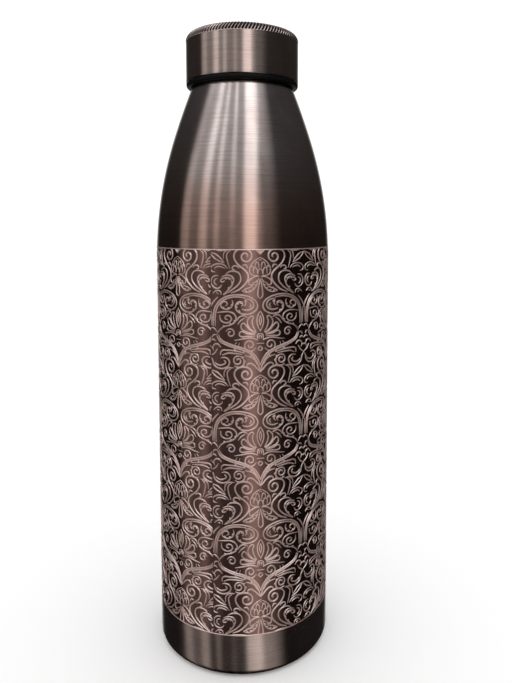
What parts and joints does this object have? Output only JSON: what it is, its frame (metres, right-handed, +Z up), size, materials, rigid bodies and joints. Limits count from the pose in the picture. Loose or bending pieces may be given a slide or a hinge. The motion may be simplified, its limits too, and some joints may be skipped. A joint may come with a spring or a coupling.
{
  "type": "water bottle",
  "caption": "Slim round copper water bottle with a sloping shoulder, an etched band and a screw cap over a threaded neck.",
  "frame": {"origin": "centre of the foot, on the surface that the bottle stands on", "axes": "+Z up along the bottle's axis, towards the cap"},
  "size_m": [0.075, 0.075, 0.2633],
  "materials": {
    "antique_copper": "brushed, darkened copper",
    "bare_copper": "satin copper",
    "black_rubber": "matt",
    "pale_silicone": "satin"
  },
  "bodies": {
    "bottle": {"bottle_shell": "antique_copper", "base_plate": "bare_copper", "neck_collar": "bare_copper", "neck_ring": "black_rubber"},
    "washer": {"cap_washer": "pale_silicone"},
    "cap": {"cap_shell": "antique_copper", "cap_sleeve": "bare_copper"}
  },
  "joints": [
    {"name": "cap_rise", "type": "slide", "parent": "bottle", "child": "washer", "axis": [0, 0, 1], "range_m": [0, 0.0176]},
    {"name": "cap_turn", "type": "hinge", "parent": "washer", "child": "cap", "pos_m": [0, 0, 0.243], "axis": [0, 0, 1], "range_deg": [0, 1260]}
  ],
  "couplings": [
    {"joint": "cap_rise", "follows": "cap_turn", "m_per_rad": 0.00079577}
  ]
}
